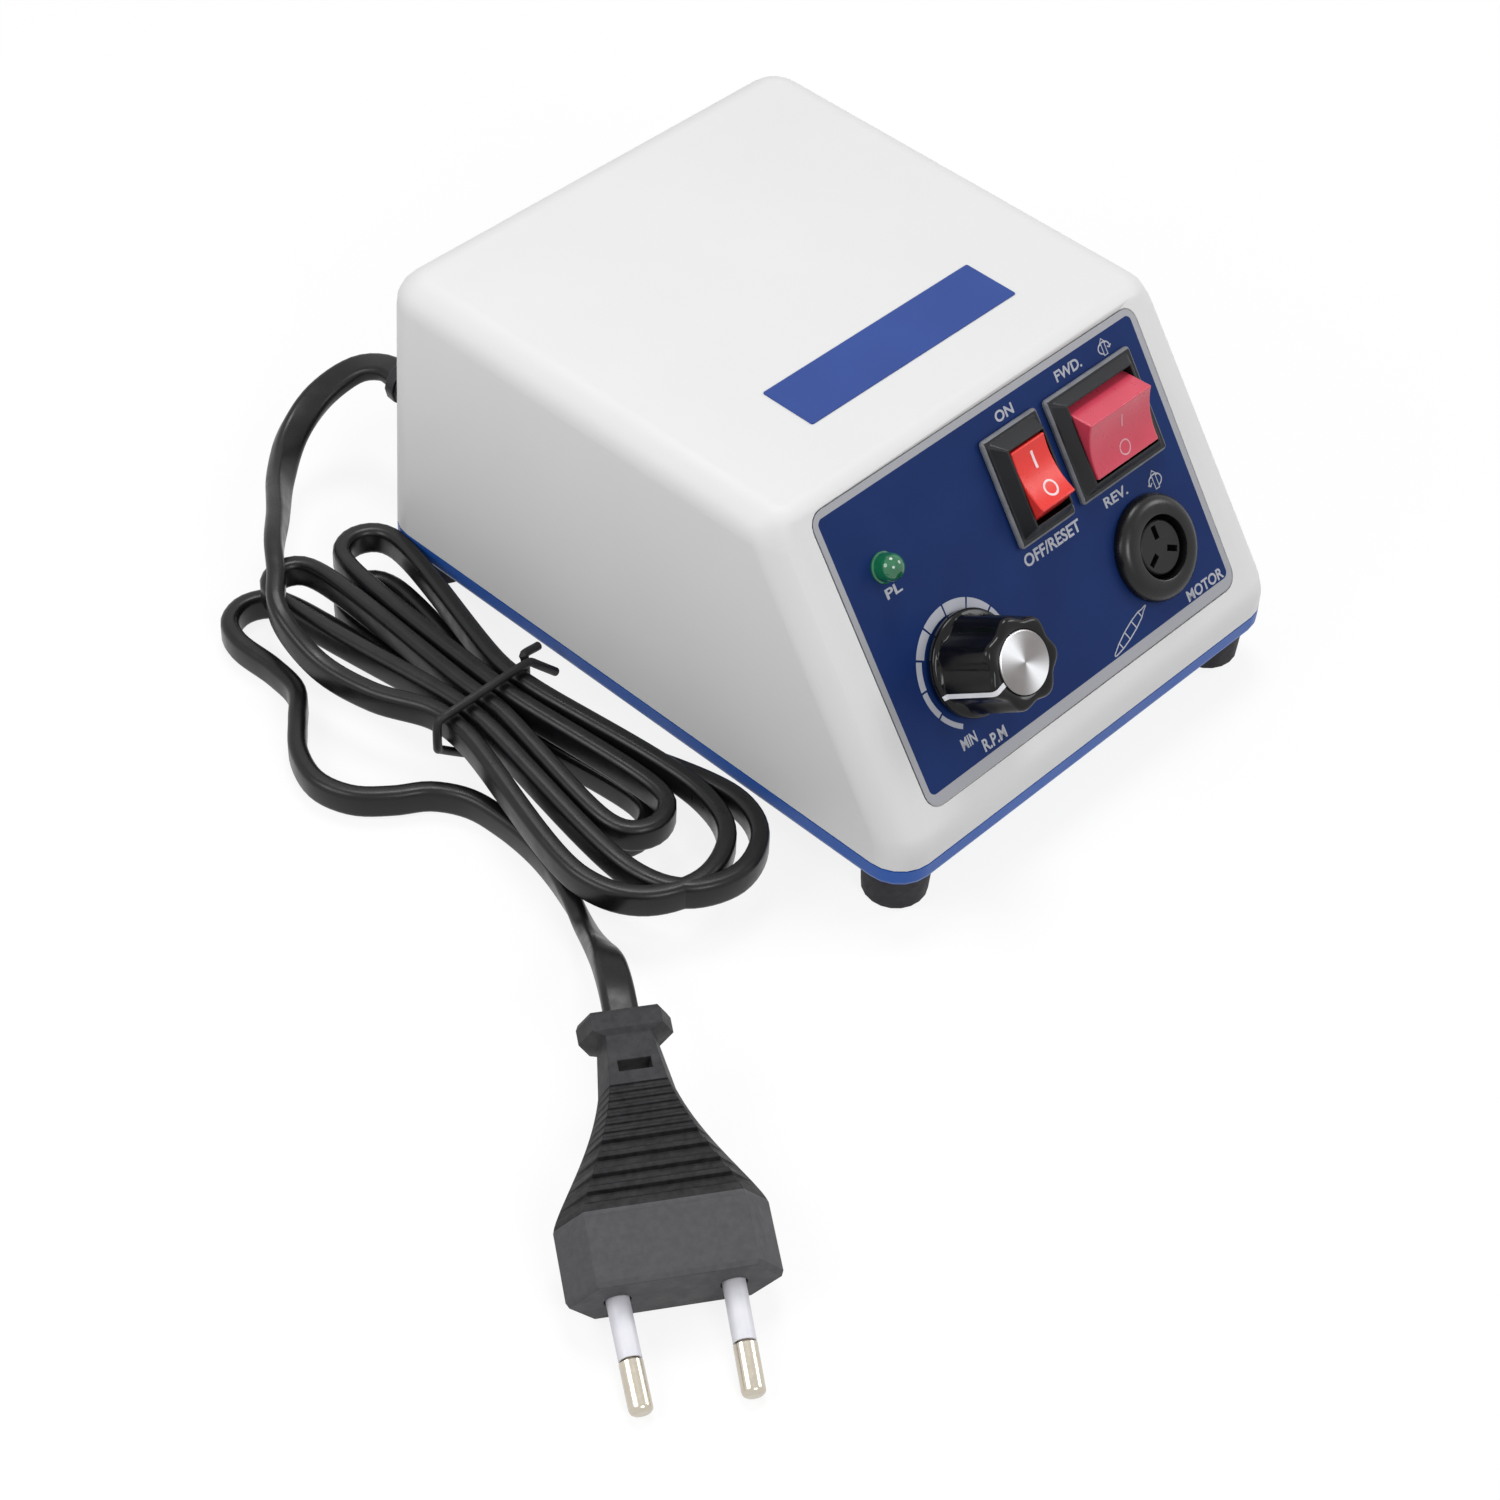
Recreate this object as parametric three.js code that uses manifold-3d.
// Control unit of a dental lab micromotor, with its mains cord and plug.
// Millimetres, +Z up, the operator's side faces -Y, and the floor is at z = 0.
import * as THREE from "three";
import { mergeVertices } from "three/addons/utils/BufferGeometryUtils.js";
import Module from "manifold-3d";

// Gaps and cutting helpers
const seatGap = 0.3;
const slideGap = 0.2;
const overrun = 2;
const weld = 0.0001;

// Case: one sloping cover over a shallow base
const caseWidth = 107;
const caseDepth = 135.66;
const caseTop = 71.3;
const partingHeight = 13;
const bendHeight = 17.83;
const frontSetback = 37.2;
const sideTaper = 1.39;
const backSetback = 1.26;
const cornerRadius = 7.33;
const topRadius = 6;
const frontTopRadius = 4.3;
const bendRadius = 8;
const wall = 2.5;
const bossRadius = 4;
const bossPilotRadius = 1.45;
const bossStart = 0.8;

// Base tray
const baseHeight = 9.2;
const baseFloor = 2.5;
const baseEdgeRadius = 1.2;
const tongueHeight = 2.3;
const tongueWall = 1.6;
const ventLength = 20;
const ventWidth = 3;
const ventPitch = 6.5;
const ventCount = 5;
const ventX = 18;
const ventY = -6;

// Feet and the case screws inside them
const footSideInset = 8.5;
const footFrontInset = 8.23;
const footBackInset = 7.63;
const footRadius = 6.1;
const footTopRadius = 6.6;
const footEdge = 0.8;
const footCounterbore = 3.6;
const footCounterboreDepth = 4.4;
const footHole = 1.9;
const screwRadius = 1.25;
const screwHeadRadius = 3;
const screwHeadHeight = 2;
const headFaceShare = 0.7;
const screwReach = 12;
const driveRadius = 1.1;
const driveDepth = 1.1;

// Printed panel on the slope
const panelWidth = 86.5;
const panelLow = 5.1;
const panelHigh = 62.7;
const panelCorner = 3;
const panelThick = 0.5;

// Rocker switches, places from the panel's centre line and up the slope
const powerU = 4.5;
const powerV = 46.3;
const powerFrameWidth = 15;
const powerFrameLength = 21.3;
const powerRockerWidth = 8.8;
const powerRockerHalf = 5.9;
const powerRockerRise = 5.35;
const powerRockerDip = 1.3;
const powerPivotRise = 0.3;
const powerTiltDegrees = 11.5;
const powerFrameTop = 4.1;
const directionU = 26.2;
const directionV = 46.3;
const directionFrameWidth = 24;
const directionFrameLength = 20.9;
const directionRockerWidth = 17.2;
const directionRockerHalf = 5.5;
const directionRockerRise = 6.3;
const directionRockerDip = 1.1;
const directionPivotRise = -0.85;
const directionTiltDegrees = 17;
const directionFrameTop = 3.05;
const frameRim = 1;
const frameRimWidth = 1.1;
const frameLip = 0.4;
const frameChamfer = 0.4;
const frameCorner = 0.8;
const frameBodyInset = 1.1;
const frameBodyDepth = 15;
const frameFloor = 2;
const frameCutGap = 0.4;
const rockerBelow = 3.2;
const rockerFlareShare = 0.27;
const trunnionRadius = 1.2;
const trunnionReach = 0.9;
const bladeWidth = 4.8;
const bladeThick = 0.8;
const bladeReach = 7;
const bladePitch = 7;

// Indicator lamp
const lampU = -32.6;
const lampV = 47.7;
const lampRadius = 2.5;
const lampRise = 4.6;
const lampDepth = 7;
const lampFlangeRadius = 3.1;
const lampFlange = 1;

// Handpiece socket
const socketShare = 0.2523;
const socketV = 20.9;
const socketRadius = 10.15;
const socketRise = 2.9;
const socketRound = 1.4;
const socketBore = 6;
const socketBodyRadius = 8.2;
const socketDepth = 16;
const socketFloor = 2;
const socketNutRadius = 10.6;
const socketNutHeight = 2.6;
const insertRadius = 5.15;
const insertSink = 0.9;
const insertSlotWidth = 1.2;
const insertSlotLength = 2.6;
const insertSlotDepth = 5;
const insertSlotRing = 3;
const insertSlots = 3;
const keyWidth = 2;
const keyDepth = 1.1;

// Speed control
const knobU = -23.7;
const knobV = 24.1;
const knobLift = 1;
const knobHeight = 14.1;
const skirtRadius = 10;
const skirtHeight = 1.5;
const knobFootRadius = 9.1;
const knobLobeRadius = 8.6;
const knobValley = 0.9;
const knobShoulder = 1.1;
const knobLobes = 8;
const knobHollowRadius = 7.7;
const knobHollowHeight = 2.7;
const capRadius = 5.75;
const capThick = 1.1;
const capEdge = 0.4;
const shaftRadius = 3;
const shaftFlat = 1;
const shaftReach = 10.6;
const shaftRunGap = 0.1;
const potRadius = 8.25;
const potHeight = 9.5;
const potFloor = 2;
const bushingRadius = 4.5;
const bushingRise = 3.1;
const bushingNutRadius = 6.6;
const bushingNutHeight = 2.2;
const lugWidth = 2;
const lugThick = 0.6;
const lugReach = 4;
const lugPitch = 5;

// Rear wall fittings, places from the centre line seen from behind and up the wall
const reliefShare = 0.2804;
const reliefUp = 9.5;
const reliefFlangeRadius = 7;
const reliefFlange = 2;
const reliefLength = 20;
const reliefRootRadius = 5.6;
const reliefTipRadius = 4.6;
const reliefNeckRadius = 4.9;
const reliefCollar = 1.6;
const reliefGrooves = 5;
const reliefGroove = 1.2;
const reliefGrooveDepth = 0.7;
const fuseShare = 0.1028;
const fuseUp = 17;
const fuseFlangeRadius = 7.6;
const fuseFlange = 1.6;
const fuseBodyRadius = 5.6;
const fuseBodyDepth = 26;
const fuseBore = 3;
const fuseCapRadius = 5;
const fuseCapRise = 5.4;
const fuseCapPlug = 4;
const fuseMouth = 4.1;
const fuseSlotWidth = 1.2;
const fuseSlotDepth = 1.2;
const fuseLinkRadius = 2.6;
const fuseLinkLength = 20;
const fuseNutRadius = 7.8;
const fuseNutHeight = 2.4;
const jackShare = -0.0654;
const jackUp = 17;
const jackBore = 3.25;
const jackNeckRadius = 4.6;
const jackNeckRise = 3.4;
const jackNutRadius = 7;
const jackNutHeight = 2.2;
const jackBodyRadius = 7;
const jackBodyDepth = 22;
const jackFloor = 1.6;
const selectorShare = -0.2617;
const selectorUp = 17;
const selectorPlateWidth = 20;
const selectorPlateHeight = 9;
const selectorPlate = 1.2;
const selectorBodyWidth = 15;
const selectorBodyHeight = 7;
const selectorBodyDepth = 7;
const selectorTravel = 4;
const sliderWidth = 4.4;
const sliderHeight = 3.4;
const sliderRise = 2.6;
const sliderFootWidth = 6.6;
const sliderFootHeight = 5;
const sliderFoot = 1.6;
const sliderShelf = 1.2;

// Transformer on the base, behind the middle
const coreWidth = 54;
const coreHeight = 45;
const coreStack = 20;
const coreLeg = 9;
const coreSideShare = 0.0561;
const coreShare = 0.3;
const coreSetback = 23.7;
const windingWrap = 6.2;
const windingRound = 2.5;
const bracketThick = 1.2;
const bracketWidth = 14;
const bracketFoot = 10;
const bracketBossHeight = 3;
const bracketBossRadius = 4;
const bracketScrewRadius = 1.6;
const bracketHeadRadius = 2.9;
const bracketHeadHeight = 1.8;
const bracketScrewLength = 5.4;
const fixGap = 0.25;

// Circuit board on its bosses, in front of the transformer
const boardWidth = 76;
const boardDepthShare = 0.25;
const boardThick = 1.6;
const boardPlaceShare = 0.199;
const boardBossHeight = 4;
const boardBossRadius = 3.2;
const boardInset = 4.5;
const boardScrewRadius = 1.2;
const boardHeadRadius = 2.4;
const boardHeadHeight = 1.5;
const boardScrewLength = 5.4;
const canRadius = 5.2;
const canHeight = 16;
const canX = -26;
const canPitch = 13;
const canEdge = 0.6;
const sinkWidth = 26;
const sinkHeight = 20;
const sinkBack = 2;
const sinkFinDepth = 8;
const sinkFin = 1.4;
const sinkFins = 5;
const sinkX = 10;
const sinkY = 16;
const transistorWidth = 10;
const transistorHeight = 15;
const transistorThick = 4.4;
const legWidth = 1;
const legReach = 5;
const legPitch = 2.54;
const legs = 3;

// Flat twin cord, its tie and its plug
const cordWidth = 6;
const cordThick = 3.5;
const cordEdgeShare = 0.98;
const caseCordSteps = 18;
const plugCordSteps = 16;

// Hank: strands laid to and fro through a tied waist, in columns and two layers
const hankX = -74;
const hankY = 17;
const columnPitch = 4.25;
const layerPitch = 7;
const restLift = 0.15;
const waistLift = 1.75;
const waistHalf = 4;
const strandColumns = [0, 4, 3, 2, 1, 4, 3, 2];
const strandLayers = [1, 1, 1, 1, 1, 0, 0, 0];
const loopSteps = 24;
const hankSides = 6;
const gapSpacing = 1.2;
const gapSkip = 14;
const tieRadius = 0.85;
const tieSteps = 48;
const tieCorners = 3;
const tieArcs = 12;
const tiePitch = 3;
const tieTail = 4.6;
const plugYawDegrees = 34.06;
const plugFaceX = -139.74;
const plugFaceY = -97.97;
const floorGap = 0.05;
const plugWidth = 35.3;
const plugThick = 13.7;
const plugFlat = 26.1;
const plugHead = 12.8;
const plugHeadEdge = 0.9;
const plugLength = 48.6;
const plugShoulderThick = 12.6;
const plugFlarePower = 0.65;
const plugNeckWidth = 10.2;
const plugNeckThick = 8;
const plugCollar = 3.6;
const plugCollarWidth = 16;
const plugCollarThick = 9.4;
const coarseRibs = 4;
const coarseRibDepth = 0.9;
const coarseRibStart = 13.7;
const fineRibs = 7;
const fineRibDepth = 0.4;
const fineRibStart = 25.3;
const plugRibEnd = 35;
const ridgeShares = [0.3, 0.45, 0.85];
const plugSlotWidth = 5.6;
const plugSlotHeight = 2;
const plugSlotPlace = 38.3;
const pinRadius = 2;
const pinReach = 19;
const pinSpan = 18.8;
const pinTipSpan = 17.9;
const pinSink = 9;
const sleeveLength = 10;
const sleeveRadius = 1.95;
const sleeveWall = 0.35;
const pinPlayGap = 0.25;

// Sizes that follow from the ones above
const slopeRise = caseTop - bendHeight;
const slopeLength = Math.hypot(frontSetback, slopeRise);
const slopeSin = slopeRise / slopeLength;
const slopeCos = frontSetback / slopeLength;
const slopeAngle = Math.atan2(slopeRise, frontSetback);
const bendAngle = Math.PI / 2 - slopeAngle;
const wallRise = caseTop - partingHeight;
const backAngle = Math.atan2(backSetback, wallRise);
const panelPocket = panelThick + seatGap;
const footX = caseWidth / 2 - footSideInset;
const footFrontY = footFrontInset - caseDepth / 2;
const footBackY = caseDepth / 2 - footBackInset;
const socketU = caseWidth * socketShare;
const reliefX = caseWidth * reliefShare;
const fuseX = caseWidth * fuseShare;
const jackX = caseWidth * jackShare;
const selectorX = caseWidth * selectorShare;
const coreX = caseWidth * coreSideShare;
const coreY = caseDepth * coreShare - coreSetback;
const boardDepth = caseDepth * boardDepthShare;
const boardY = -caseDepth * boardPlaceShare;

const wasm = await Module();
wasm.setup();

// A closed geometry as a solid that can be joined and cut
function solid(geometry) {
  const bare = geometry.index ? geometry.toNonIndexed() : geometry.clone();
  for (const name of Object.keys(bare.attributes)) {
    if (name !== "position") bare.deleteAttribute(name);
  }
  const merged = mergeVertices(bare, weld);
  const triVerts = new Uint32Array(merged.index.array);
  const vertProperties = merged.attributes.position.array;
  return new wasm.Manifold(new wasm.Mesh({ numProp: 3, vertProperties, triVerts }));
}

// The joined or cut solid as a geometry with flat faces
function geometryOf(body) {
  const mesh = body.getMesh();
  const geometry = new THREE.BufferGeometry();
  geometry.setAttribute("position", new THREE.BufferAttribute(mesh.vertProperties, 3));
  geometry.setIndex(new THREE.BufferAttribute(mesh.triVerts, 1));
  const flat = geometry.toNonIndexed();
  flat.computeVertexNormals();
  return flat;
}

function cut(body, ...tools) {
  return tools.reduce((rest, tool) => rest.subtract(tool), body);
}

function join(body, ...others) {
  return others.reduce((all, other) => all.add(other), body);
}

// Box from its middle in X and Y and its lower and upper ends in Z
function block(width, depth, low, high, x = 0, y = 0) {
  const box = new THREE.BoxGeometry(width, depth, high - low);
  return solid(box.translate(x, y, (low + high) / 2));
}

// Upright cylinder from its lower to its upper end
function rod(radius, low, high, x = 0, y = 0, sides = 20) {
  const cylinder = new THREE.CylinderGeometry(radius, radius, high - low, sides);
  return solid(cylinder.rotateX(Math.PI / 2).translate(x, y, (low + high) / 2));
}

// Profile of [radius, height] pairs turned about the upright axis
function turned(profile, sides = 20) {
  const points = profile.map(([radius, height]) => new THREE.Vector2(radius, height));
  return solid(new THREE.LatheGeometry(points, sides).rotateX(Math.PI / 2));
}

// Closed skin through rings that have as many points each
function loft(rings) {
  const positions = [];
  const corner = (point) => positions.push(point.x, point.y, point.z);
  const face = (a, b, c) => [a, b, c].forEach(corner);
  const count = rings[0].length;
  for (let level = 1; level < rings.length; level += 1) {
    const low = rings[level - 1];
    const high = rings[level];
    for (let i = 0; i < count; i += 1) {
      const next = (i + 1) % count;
      face(low[i], low[next], high[next]);
      face(low[i], high[next], high[i]);
    }
  }
  const middle = (ring) =>
    ring.reduce((sum, point) => sum.add(point), new THREE.Vector3()).divideScalar(count);
  const bottom = rings[0];
  const top = rings[rings.length - 1];
  const bottomMiddle = middle(bottom);
  const topMiddle = middle(top);
  for (let i = 0; i < count; i += 1) {
    const next = (i + 1) % count;
    face(bottomMiddle, bottom[next], bottom[i]);
    face(topMiddle, top[i], top[next]);
  }
  const geometry = new THREE.BufferGeometry();
  geometry.setAttribute("position", new THREE.Float32BufferAttribute(positions, 3));
  return geometry;
}

// Rounded rectangle at one height, counter-clockwise from the right-hand side
function roundedRing(halfWidth, front, back, radius, z, steps) {
  const ring = [];
  const centres = [
    [halfWidth - radius, back - radius],
    [radius - halfWidth, back - radius],
    [radius - halfWidth, front + radius],
    [halfWidth - radius, front + radius],
  ];
  centres.forEach(([x, y], quarter) => {
    for (let i = 0; i <= steps; i += 1) {
      const angle = ((quarter + i / steps) * Math.PI) / 2;
      ring.push(new THREE.Vector3(x + radius * Math.cos(angle), y + radius * Math.sin(angle), z));
    }
  });
  return ring;
}

// Flat plate with round corners, from its lower to its upper face
function plate(width, length, radius, low, high, x = 0, y = 0, steps = 4) {
  const ring = (z) => roundedRing(width / 2, -length / 2, length / 2, radius, z, steps);
  return solid(loft([ring(low), ring(high)]).translate(x, y, 0));
}

// Front of the case at one height, for a skin set in by the given amount
function caseFront(z, inset) {
  const bend = bendHeight - (inset * (1 - slopeSin)) / slopeCos;
  const radius = bendRadius - inset;
  const start = bend - radius * Math.tan(bendAngle / 2);
  const lip = inset - caseDepth / 2;
  if (z <= start) return lip;
  const end = start + radius * Math.sin(bendAngle);
  if (z < end) {
    const angle = Math.asin((z - start) / radius);
    return lip + radius * (1 - Math.cos(angle));
  }
  const top = caseTop - inset;
  const round = frontTopRadius - Math.min(inset, frontTopRadius / 2);
  const roundStart = top - round * (1 - Math.sin(bendAngle));
  const slope = (height) => lip + ((height - bend) * slopeCos) / slopeSin;
  if (z <= roundStart) return slope(z);
  const centre = slope(roundStart) + round * Math.cos(bendAngle);
  const lift = Math.min((z - top + round) / round, 1);
  return centre - round * Math.sqrt(1 - lift * lift);
}

// Skin of the case from the given height up, set in by the given amount
function caseSkin(low, inset, steps) {
  const top = caseTop - inset;
  const round = topRadius - inset;
  const bendLow = bendHeight - bendRadius * Math.tan(bendAngle / 2);
  const heights = [low, bendLow];
  for (let i = 1; i <= steps; i += 1) {
    heights.push(bendLow + bendRadius * Math.sin((bendAngle * i) / steps));
  }
  const fillet = 2 * steps;
  for (let i = 0; i <= fillet; i += 1) {
    heights.push(top - round + round * Math.sin((Math.PI * i) / (2 * fillet)));
  }
  const rings = heights.map((z) => {
    const rise = (z - partingHeight) / wallRise;
    const climb = Math.max(0, (z - top + round) / round);
    const draw = round * (1 - Math.sqrt(Math.max(0, 1 - climb * climb)));
    const half = caseWidth / 2 - sideTaper * rise - inset - draw;
    const back = caseDepth / 2 - backSetback * rise - inset - draw;
    const radius = cornerRadius - inset - draw;
    return roundedRing(half, caseFront(z, inset), back, radius, z, steps);
  });
  return solid(loft(rings));
}

// Turns a body made in the panel's frame into the case's frame
const panelTurn = new THREE.Matrix4()
  .makeRotationX(slopeAngle)
  .setPosition(0, -caseDepth / 2, bendHeight);
const rearTurn = new THREE.Matrix4()
  .makeBasis(
    new THREE.Vector3(-1, 0, 0),
    new THREE.Vector3(0, -Math.sin(backAngle), Math.cos(backAngle)),
    new THREE.Vector3(0, Math.cos(backAngle), Math.sin(backAngle)),
  )
  .setPosition(0, caseDepth / 2, partingHeight);

function placed(body, matrix) {
  return solid(geometryOf(body).applyMatrix4(matrix));
}

const corners = [
  [-footX, footFrontY],
  [footX, footFrontY],
  [-footX, footBackY],
  [footX, footBackY],
];

function switchCut(u, v, width, length) {
  const cutWidth = width - 2 * (frameBodyInset - frameCutGap);
  const cutLength = length - 2 * (frameBodyInset - frameCutGap);
  return block(cutWidth, cutLength, -wall - overrun, overrun, u, v);
}

// Holes that the cover and the printed panel share, in the panel's frame
function panelHoles() {
  return [
    switchCut(powerU, powerV, powerFrameWidth, powerFrameLength),
    switchCut(directionU, directionV, directionFrameWidth, directionFrameLength),
    rod(lampRadius + seatGap, -wall - overrun, overrun, lampU, lampV),
    rod(socketBodyRadius + seatGap, -wall - overrun, overrun, socketU, socketV, 32),
    rod(bushingRadius + seatGap, -wall - overrun, overrun, knobU, knobV),
  ];
}

function rearHoles() {
  const low = -wall - overrun;
  return [
    rod(reliefNeckRadius + seatGap, low, overrun, reliefX, reliefUp),
    rod(fuseBodyRadius + seatGap, low, overrun, fuseX, fuseUp),
    rod(jackNeckRadius + seatGap, low, overrun, jackX, jackUp),
    block(
      selectorBodyWidth + 2 * seatGap,
      selectorBodyHeight + 2 * seatGap,
      low,
      overrun,
      selectorX,
      selectorUp,
    ),
  ];
}

function caseCover() {
  const outer = caseSkin(partingHeight + seatGap, 0, 5);
  const inner = caseSkin(partingHeight - overrun, wall, 3);
  const low = partingHeight + bossStart;
  const posts = corners.map(([x, y]) => {
    const post = rod(bossRadius, low, caseTop, x, y);
    const webX = Math.sign(x) * (footX + bossRadius);
    const web = block(2 * bossRadius, wall, low + tongueHeight + seatGap, caseTop, webX, y);
    return cut(join(post, web), rod(bossPilotRadius, low - overrun, low + screwReach, x, y, 16));
  });
  const trimmed = posts.map((post) => post.intersect(outer));
  const shell = join(cut(outer, inner), ...trimmed);
  const pocketWidth = panelWidth + 2 * seatGap;
  const pocketLength = panelHigh - panelLow + 2 * seatGap;
  const middle = (panelLow + panelHigh) / 2;
  const pocketCorner = panelCorner + seatGap;
  const pocket = plate(pocketWidth, pocketLength, pocketCorner, -panelPocket, overrun, 0, middle);
  const frontCuts = [pocket, ...panelHoles()].map((tool) => placed(tool, panelTurn));
  const rearCuts = rearHoles().map((tool) => placed(tool, rearTurn));
  return cut(shell, ...frontCuts, ...rearCuts);
}

function caseBase() {
  const half = caseWidth / 2;
  const reach = caseDepth / 2;
  const ring = (z, inset) =>
    roundedRing(half - inset, inset - reach, reach - inset, cornerRadius - inset, z, 5);
  const edge = [];
  for (let i = 0; i <= 3; i += 1) {
    const angle = (Math.PI * i) / 6;
    const z = baseHeight + baseEdgeRadius * (1 - Math.cos(angle));
    edge.push(ring(z, baseEdgeRadius * (1 - Math.sin(angle))));
  }
  const outer = solid(loft([...edge, ring(partingHeight, 0)]));
  const tongueInset = wall + seatGap;
  const tongueTop = partingHeight + tongueHeight;
  const tongue = solid(loft([ring(partingHeight - wall, tongueInset), ring(tongueTop, tongueInset)]));
  const hollowInset = tongueInset + tongueWall;
  const hollowFloor = baseHeight + baseFloor;
  const hollow = solid(loft([ring(hollowFloor, hollowInset), ring(tongueTop + wall, hollowInset)]));
  const postRoom = corners.map(([x, y]) =>
    rod(bossRadius + seatGap, partingHeight + bossStart - seatGap, tongueTop + wall, x, y),
  );
  const screwHoles = corners.map(([x, y]) =>
    rod(footHole, baseHeight - overrun, partingHeight + overrun, x, y, 16),
  );
  const pads = corners.map(([x, y]) =>
    rod(bossRadius, hollowFloor - baseFloor / 2, partingHeight + bossStart - seatGap, x, y),
  );
  const boardBosses = boardPlaces().map(([x, y]) =>
    rod(boardBossRadius, hollowFloor - baseFloor / 2, hollowFloor + boardBossHeight, x, y),
  );
  const boardPilots = boardPlaces().map(([x, y]) =>
    rod(boardScrewRadius + fixGap, hollowFloor, hollowFloor + boardBossHeight + overrun, x, y, 16),
  );
  const bracketBosses = bracketPlaces().map(([x, y]) =>
    rod(bracketBossRadius, hollowFloor - baseFloor / 2, hollowFloor + bracketBossHeight, x, y),
  );
  const bracketPilots = bracketPlaces().map(([x, y]) =>
    rod(
      bracketScrewRadius + fixGap,
      hollowFloor - baseFloor / 2,
      hollowFloor + bracketBossHeight + overrun,
      x,
      y,
      16,
    ),
  );
  const vents = [];
  for (let i = 0; i < ventCount; i += 1) {
    const y = ventY + (i - (ventCount - 1) / 2) * ventPitch;
    for (const side of [-1, 1]) {
      const x = side * ventX;
      vents.push(block(ventLength, ventWidth, baseHeight - overrun, hollowFloor + overrun, x, y));
    }
  }
  const tray = cut(join(outer, tongue), hollow, ...postRoom);
  const fitted = join(tray, ...pads, ...boardBosses, ...bracketBosses);
  return cut(fitted, ...screwHoles, ...boardPilots, ...bracketPilots, ...vents);
}

function boardPlaces() {
  const x = boardWidth / 2 - boardInset;
  const y = boardDepth / 2 - boardInset;
  return [
    [-x, boardY - y],
    [x, boardY - y],
    [-x, boardY + y],
    [x, boardY + y],
  ];
}

function bracketPlaces() {
  const reach = coreWidth / 2 + bracketThick + seatGap + bracketFoot / 2;
  return [
    [coreX - reach, coreY],
    [coreX + reach, coreY],
  ];
}

// Foot with a counterbore for its screw's head, standing on the floor
function foot() {
  const top = baseHeight - seatGap;
  return turned([
    [footCounterbore, 0],
    [footRadius - footEdge, 0],
    [footRadius, footEdge],
    [footTopRadius, top],
    [footHole, top],
    [footHole, footCounterboreDepth],
    [footCounterbore, footCounterboreDepth],
    [footCounterbore, 0],
  ]);
}

// Screw with a round head and a driving recess, its head's face at z = 0 and pointing down
function screw(radius, length, headRadius, headHeight) {
  const body = turned(
    [
      [0, -headHeight],
      [headRadius * headFaceShare, -headHeight],
      [headRadius, -headHeight / 2],
      [headRadius, 0],
      [radius, 0],
      [radius, length - radius],
      [radius / 2, length],
      [0, length],
    ],
    8,
  );
  const drive = Math.min(driveRadius, headRadius / 2);
  const depth = Math.min(driveDepth, headHeight / 2);
  return cut(body, rod(drive, -headHeight - overrun, depth - headHeight, 0, 0, 6));
}

function frontPanel() {
  const middle = (panelLow + panelHigh) / 2;
  const sheet = plate(
    panelWidth,
    panelHigh - panelLow,
    panelCorner,
    -panelThick,
    0,
    0,
    middle,
    6,
  );
  return cut(sheet, ...panelHoles());
}

// Switch frame about its own centre: a rim, slopes up to the rocker, and a well about the pivot
function switchFrame({ width, length, top, rockerWidth, half, rise, pivot, blades }) {
  const low = seatGap;
  const rim = low + frameRim;
  const ring = (halfWidth, halfLength, radius, z) =>
    roundedRing(halfWidth, -halfLength, halfLength, radius, z, 3);
  const rimRing = (inset, z) => ring(width / 2 - inset, length / 2 - inset, frameCorner, z);
  const foot = half + rise * rockerFlareShare;
  const reach = Math.max(Math.hypot(half, rise), Math.hypot(foot, rockerBelow)) + slideGap;
  const wellHalf = Math.sqrt(reach * reach - (top - pivot) * (top - pivot));
  const wellWidth = rockerWidth + 2 * slideGap;
  const flange = solid(
    loft([
      rimRing(0, low),
      rimRing(0, rim - frameChamfer),
      rimRing(frameRimWidth / 3, rim),
      rimRing(frameRimWidth, rim),
      ring(wellWidth / 2 + frameLip, wellHalf + frameLip, frameCorner / 2, top),
    ]),
  );
  const bodyWidth = width - 2 * frameBodyInset;
  const bodyLength = length - 2 * frameBodyInset;
  const floor = -frameBodyDepth;
  const housing = block(bodyWidth, bodyLength, floor, low + frameRim / 2);
  const barrel = new THREE.CylinderGeometry(reach, reach, wellWidth, 48);
  const well = solid(barrel.rotateZ(Math.PI / 2).translate(0, 0, pivot));
  const shaftWell = block(wellWidth, 2 * wellHalf - overrun, floor + frameFloor, pivot);
  const pinHole = new THREE.CylinderGeometry(
    trunnionRadius + slideGap,
    trunnionRadius + slideGap,
    wellWidth + 2 * trunnionReach,
    16,
  );
  const bearing = solid(pinHole.rotateZ(Math.PI / 2).translate(0, 0, pivot));
  const opened = cut(join(housing, flange), well, shaftWell, bearing);
  const tabs = [];
  for (let i = 0; i < blades; i += 1) {
    const y = (i - (blades - 1) / 2) * bladePitch;
    tabs.push(block(bladeWidth, bladeThick, floor - bladeReach, floor + frameFloor / 2, 0, y));
  }
  return join(opened, ...tabs);
}

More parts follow.
